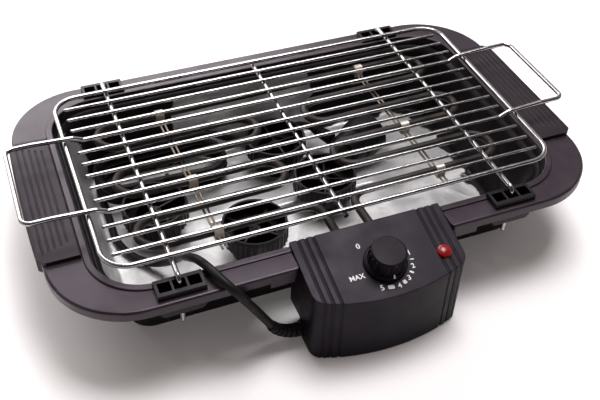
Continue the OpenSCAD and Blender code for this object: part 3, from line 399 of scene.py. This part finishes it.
bx, by, bz = GLAND
start = Vector((bx - GLAND_BEND * math.sin(GLAND_TURN), by,
                bz + GLAND_BEND * (1 - math.cos(GLAND_TURN))))
left = HANK[0] - HANK_RUN - HANK_FOLD
back = HANK[1] + HANK_SIDE + HANK_FOLD
hank = hank_points()
top = hank[-1].z
plug_a = Vector((math.cos(PLUG_TURN), math.sin(PLUG_TURN), 0))
plug_b = Vector((math.sin(PLUG_TURN), -math.cos(PLUG_TURN), 0))
boot_root = PLUG - 12 * plug_a - PLUG_R * plug_b
boot_start = boot_root - 22 * plug_b
leaving = Vector((-math.cos(GLAND_TURN), 0, math.sin(GLAND_TURN)))
LEAD = [start, start + 7 * leaving] + [Vector(p) for p in (
    (-94, -151, 56), (-103, -150, 71), (-109, -146.5, 79), (-114.5, -137, 82.4),
    (-119.5, -123, 82), (-124, -110, 79), (-127.5, -98, 71), (-129, -85, 60),
    (-128, -72, 46), (-129, -59, 31), (-136, -46, 16.5),
    (-148, -33, 7.5), (-160, -16, 4.9), (left, 6, LEAD_Z), (left, 34, LEAD_Z),
    (left, HANK[1] - HANK_SIDE - 8, LEAD_Z), (left, HANK[1] - HANK_SIDE, LEAD_Z))]
TAIL = [Vector(p) for p in (
    (HANK[0] + HANK_RUN, back, top), (HANK[0] + HANK_RUN + 8, back, top),
    (-49, back, 26.5), (-37, back, 19), (-25, back, 11.6), (-13, back, 7),
    (-2, back, 5.4), (10, back, 6), (20.7, back, 8.6), (30.3, 92.8, 14),
    (38.7, 87.9, 19.6))] + [boot_start - 7.5 * plug_b, boot_start]
route = spline(LEAD, 6)[:-1] + hank[:-1] + spline(TAIL, 6)
curve = bpy.data.curves.new("mains_lead", "CURVE")
curve.dimensions = "3D"
line = curve.splines.new("POLY")
line.points.add(len(route) - 1)
for p, v in zip(line.points, route):
    p.co = (*(v * MM), 1)
    p.radius = CORD_R * MM
line.use_smooth = True
curve.bevel_depth = 1
curve.bevel_resolution = 7
curve.use_fill_caps = True
lead = piece("mains_lead", curve, "base", "cord_rubber")
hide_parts("cord_lead", "cord_hank", "cord_tail")


# Tie round the hank's front run
run = [p for p in hank if p.y < HANK[1] - HANK_SIDE - HANK_FOLD + 1.5 and abs(p.x - HANK[0]) < 12]
low, high = min(p.z for p in run) - CORD_R - 0.1, max(p.z for p in run) + CORD_R + 0.6
half = CORD_R + 0.7
bm = bmesh.new()
rows = []
for i in range(48):
    a = 2 * math.pi * i / 48
    c, r = math.cos(a), math.sin(a)
    out = Vector((0, math.copysign(abs(c) ** 0.45, c), math.copysign(abs(r) ** 0.45, r)))
    centre = Vector((HANK[0], HANK[1] - HANK_SIDE - HANK_FOLD, (low + high) / 2))
    around_it = centre + Vector((0, out.y * half, out.z * (high - low) / 2))
    thin = Vector((0, out.y, out.z)).normalized() * 0.35
    corners = ((1, -TIE_HALF), (1, TIE_HALF), (-1, TIE_HALF), (-1, -TIE_HALF))
    rows.append([bm.verts.new((around_it + thin * k + Vector((x, 0, 0))) * MM) for k, x in corners])
for a, b in zip(rows, rows[1:] + rows[:1]):
    for k in range(4):
        bm.faces.new((a[k], a[(k + 1) % 4], b[(k + 1) % 4], b[k]))
bmesh.ops.recalc_face_normals(bm, faces=bm.faces)
tie = bpy.data.meshes.new("hank_tie")
bm.to_mesh(tie)
bm.free()
piece("hank_tie", tie, "base", "cord_rubber")


# Drip tray with crumpled walls, as one skin of real thickness
TRAY_X, TRAY_Y, TRAY_R = 192.5, 113.5, 34.0
TRAY_LEAN = 14.0
TRAY_FLOOR = 1
FOOT_R = 6.0
RIM_REACH = 9.0
SHEET = 0.45
FLOOR_RISE = 0.25
BAY = (UNIT_X - 66 - 4.5, UNIT_X + 66 + 4.5, 50.0)


def ring_point(hx, hy, r, k):
    """A point at a share k of the way round a rounded rectangle, with its outward direction."""
    side, u = divmod(k, 1)
    side = int(side) % 4
    along, off = ((hy, hx), (hx, hy))[side % 2]
    if u < 0.7:
        q, n = Vector((off, -(along - r) + 2 * (along - r) * u / 0.7)), Vector((1, 0))
    else:
        a = (u - 0.7) / 0.3 * math.pi / 2
        n = Vector((math.cos(a), math.sin(a)))
        q = Vector((off - r, along - r)) + r * n
    turn = Matrix.Rotation(math.pi / 2 * side, 2)
    return turn @ q, turn @ n


def tray_mesh():
    """The tray's section swept round its plan, with dented walls and a closed floor."""
    f, edge = FOOT_R, RIM_REACH

    def foot(a):
        a = math.radians(a)
        return f * math.sin(a) - f - TRAY_LEAN, TRAY_FLOOR + f * (1 - math.cos(a))

    prof = [(edge, 63.0), (edge, 65.5), (edge - 0.3, 67.5), (edge - 1, 68), (6, 68), (4.6, 68)]
    for a in range(10, 180, 20):
        a = math.radians(a)
        prof.append((2.9 + 1.25 * math.cos(a), 67.9 + 0.8 * math.sin(a)))
    prof += [(1.4, 67.8), (0.6, 67), (-0.2, 66), (-0.8, 65), (-1.4, 62.5), (-2.2, 59)]
    foot_top = foot(75)
    for z in (56, 53, 50, 47, 43, 39, 35, 31, 27, 23, 19, 15, 11.5, 8.5, 6.5):
        t = (z - foot_top[1]) / (59 - foot_top[1])
        prof.append((foot_top[0] + (-2.2 - foot_top[0]) * t, z))
    prof += [foot(a) for a in (75, 60, 45, 30, 15, 0)]
    ks = sorted({round(i + j / 60, 5) for i in range(4) for j in range(42)}
                | {round(i + 0.7 + j * 0.3 / 22, 5) for i in range(4) for j in range(22)})
    front = [3 + 0.7 * (x + (TRAY_X - TRAY_R)) / (2 * (TRAY_X - TRAY_R)) for x in BAY[:2]]
    ks = sorted(set(k for k in ks if all(abs(k - b) > 0.006 for b in front)) | set(front))
    bm = bmesh.new()
    rows = []
    for x, z in prof:
        row = []
        for k in ks:
            q, n = ring_point(TRAY_X, TRAY_Y, TRAY_R, k)
            p = q + n * x
            wall = max(0.0, min(1.0, (66 - z) / 12)) * max(0.0, min(1.0, (z - 2) / 10))
            crush = 0.35 + 0.75 * max(0.0, min(1.0, (-p.x - 60) / 110))
            v = Vector((p.x * 0.035, p.y * 0.035, z * 0.022))
            d = noise.noise(v) * 1.6 + noise.noise(v * 2.7 + Vector((5, 1, 2))) * 0.8
            d += abs(noise.noise(Vector((p.x * 0.02 + 9, p.y * 0.05, z * 0.03)))) * 1.4 - 0.4
            p = p - n * (d * wall * crush)
            row.append(bm.verts.new((p.x, p.y, z)))
        rows.append(row)
    edge_row = [v.co.copy() for v in rows[-1]]
    core = TRAY_X - TRAY_Y
    for step in range(1, 25):
        t = step / 24
        row = []
        for c in edge_row:
            goal = Vector((max(-core, min(core, c.x)), 0, TRAY_FLOOR))
            q = c.lerp(goal, t * 0.995)
            rise = noise.noise(Vector((q.x * 0.03, q.y * 0.03, 3))) * 0.35
            rise += noise.noise(Vector((q.x * 0.09, q.y * 0.09, 7))) * 0.15
            inward = min(1, t * 6)
            q.z = TRAY_FLOOR + min(FLOOR_RISE, rise * inward) - FLOOR_RISE * inward
            row.append(bm.verts.new(q))
        rows.append(row)
    count = len(ks)
    for a, b in zip(rows, rows[1:]):
        for i in range(count):
            j = (i + 1) % count
            c = (a[i].co + b[i].co + a[j].co + b[j].co) / 4
            if c.y < -100 and BAY[0] < c.x < BAY[1] and c.z > BAY[2]:
                continue
            bm.faces.new((a[i], a[j], b[j], b[i]))
    bmesh.ops.remove_doubles(bm, verts=bm.verts, dist=0.05)
    bmesh.ops.delete(bm, geom=[v for v in bm.verts if not v.link_faces], context="VERTS")
    bmesh.ops.scale(bm, vec=(MM, MM, MM), verts=bm.verts)
    bmesh.ops.recalc_face_normals(bm, faces=bm.faces)
    for face in bm.faces:
        face.smooth = True
    me = bpy.data.meshes.new("tray_skin")
    bm.to_mesh(me)
    bm.free()
    return me


tray = piece("tray_skin", tray_mesh(), "tray", "tray_sheet")
thick = tray.modifiers.new("thickness", "SOLIDIFY")
thick.thickness = SHEET * MM
thick.offset = -1
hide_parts("drip_tray")


# Dial: generic numbers and wedges between them
def on_top(x, y, h=0.0):
    z = BOX_TOP + (y - BOX_HOOK) * math.tan(SLOPE)
    tilt = Matrix.Rotation(SLOPE, 4, "X")
    return Matrix.Translation(mm(x, y, z)) @ tilt @ Matrix.Translation(mm(0, 0, h))


def dial_text(text, angle, radius, size, turn):
    c = bpy.data.curves.new("dial_" + text, "FONT")
    c.body = text
    c.size = size * MM
    c.align_x = "CENTER"
    c.align_y = "CENTER"
    c.extrude = 0.00004
    c.offset = 0.00012
    o = piece("dial_" + text, c, "base", "ceramic_white", INK)
    a = math.radians(angle)
    place = Matrix.Translation(mm(radius * math.cos(a), radius * math.sin(a), 0))
    o.matrix_world = on_top(UNIT_X, KNOB_Y, PRINT_H) @ place @ Matrix.Rotation(math.radians(turn), 4, "Z")
    return o


def dial_bar(name, angle, radius, length, width):
    me = bpy.data.meshes.new(name)
    bm = bmesh.new()
    bmesh.ops.create_cube(bm, size=1)
    bmesh.ops.bevel(bm, geom=[e for e in bm.edges if abs(e.verts[0].co.z - e.verts[1].co.z) > 0.5],
                    offset=0.12, segments=3, affect="EDGES")
    bmesh.ops.scale(bm, vec=(length * MM, width * MM, 0.00008), verts=bm.verts)
    bm.to_mesh(me)
    bm.free()
    o = piece(name, me, "base", "ceramic_white", INK)
    a = math.radians(angle)
    place = Matrix.Rotation(a, 4, "Z") @ Matrix.Translation(mm(radius, 0, 0))
    o.matrix_world = on_top(UNIT_X, KNOB_Y, PRINT_H) @ place
    return o


for text, angle, radius, size, turn in (
        ("0", 127, 24.5, 6.4, 0), ("1", 7, 22, 5.9, 0), ("2", -25, 22, 5.9, 0), ("3", -55, 22, 5.9, 0),
        ("4", -83, 22.3, 6.1, 0), ("5", -119, 23, 6.4, 0), ("MAX", -167, 27, 5.9, 0)):
    dial_text(text, angle, radius, size, turn)
for i, (angle, width) in enumerate(((-9, 0.9), (-40, 1.6), (-69, 3.0), (-101, 5.2))):
    dial_bar("dial_mark_%d" % (i + 1), angle, 21.7, 3.4, width)

# Pointer tick low on the knob's front
tick = bpy.data.meshes.new("knob_tick")
bm = bmesh.new()
bmesh.ops.create_cube(bm, size=1)
bmesh.ops.scale(bm, vec=(1.5 * MM, 3.0 * MM, 0.3 * MM), verts=bm.verts)
bmesh.ops.bevel(bm, geom=bm.edges[:], offset=0.00008, segments=2, affect="EDGES")
bm.to_mesh(tick)
bm.free()
tick_obj = piece("knob_tick", tick, "dial", "ceramic_white", INK)
tick_obj.matrix_world = on_top(UNIT_X, KNOB_Y, 4.4) @ Matrix.Translation(mm(0, -16.0, 0)) \
    @ Matrix.Rotation(math.radians(38), 4, "X")


# Floor, light
def stage_material(name, color, add):
    """A floor with its shadow, a little brighter to the camera than its light alone makes it."""
    m = bpy.data.materials.new(name)
    m.use_nodes = True
    nt = m.node_tree
    out = nt.nodes["Material Output"]
    bsdf = nt.nodes["Principled BSDF"]
    bsdf.inputs["Base Color"].default_value = (*color, 1)
    bsdf.inputs["Roughness"].default_value = 0.7
    path = nt.nodes.new("ShaderNodeLightPath")
    glow = nt.nodes.new("ShaderNodeEmission")
    glow.inputs["Color"].default_value = (1, 0.985, 0.985, 1)
    scale = nt.nodes.new("ShaderNodeMath")
    scale.operation = "MULTIPLY"
    scale.inputs[1].default_value = add
    total = nt.nodes.new("ShaderNodeAddShader")
    nt.links.new(path.outputs["Is Camera Ray"], scale.inputs[0])
    nt.links.new(scale.outputs[0], glow.inputs["Strength"])
    nt.links.new(bsdf.outputs[0], total.inputs[0])
    nt.links.new(glow.outputs[0], total.inputs[1])
    nt.links.new(total.outputs[0], out.inputs["Surface"])
    return m


me = bpy.data.meshes.new("floor")
bm = bmesh.new()
bmesh.ops.create_grid(bm, x_segments=8, y_segments=8, size=6)
bm.to_mesh(me)
bm.free()
floor = bpy.data.objects.new("floor", me)
scene.collection.objects.link(floor)
floor.location.z = -0.0003
me.materials.append(stage_material("floor_white", (0.93, 0.90, 0.90), 0.05))


def area(name, loc, target, size, power):
    light = bpy.data.lights.new(name, "AREA")
    light.shape = "RECTANGLE"
    light.size, light.size_y = size
    light.energy = power
    o = bpy.data.objects.new(name, light)
    scene.collection.objects.link(o)
    o.location = loc
    o.rotation_mode = "QUATERNION"
    o.rotation_quaternion = (Vector(target) - Vector(loc)).to_track_quat("-Z", "Y")
    return o


area("softbox_back", (-0.35, 2.0, 1.25), (0, 0, 0.05), (2.4, 1.3), 50)
area("softbox_top", (0.35, 0.35, 2.1), (0, 0, 0), (1.1, 1.0), 46)

# World: white to the camera, darker in front of the grill for reflections, a faint warm fill
world = bpy.data.worlds.new("studio")
world.use_nodes = True
scene.world = world
nt = world.node_tree
bg = nt.nodes["Background"]
path = nt.nodes.new("ShaderNodeLightPath")
where = nt.nodes.new("ShaderNodeTexCoord")
axes = nt.nodes.new("ShaderNodeSeparateXYZ")
nt.links.new(where.outputs["Generated"], axes.inputs["Vector"])
shine = nt.nodes.new("ShaderNodeMapRange")
shine.inputs["From Min"].default_value = -0.5
shine.inputs["From Max"].default_value = 0.8
shine.inputs["To Min"].default_value = 0.04
shine.inputs["To Max"].default_value = 0.45
nt.links.new(axes.outputs["Y"], shine.inputs["Value"])


def chosen(ray, low, high):
    n = nt.nodes.new("ShaderNodeMix")
    n.data_type = "RGBA"
    nt.links.new(path.outputs[ray], n.inputs["Factor"])
    for value, socket in ((low, "A"), (high, "B")):
        if hasattr(value, "is_output"):
            nt.links.new(value, n.inputs[socket])
        else:
            n.inputs[socket].default_value = value
    return n.outputs["Result"]


fill = (0.25, 0.215, 0.21, 1)
seen = (1, 0.99, 0.995, 1)
tone = chosen("Is Camera Ray", chosen("Is Glossy Ray", fill, shine.outputs["Result"]), seen)
nt.links.new(tone, bg.inputs["Color"])

scene.view_settings.view_transform = "Standard"
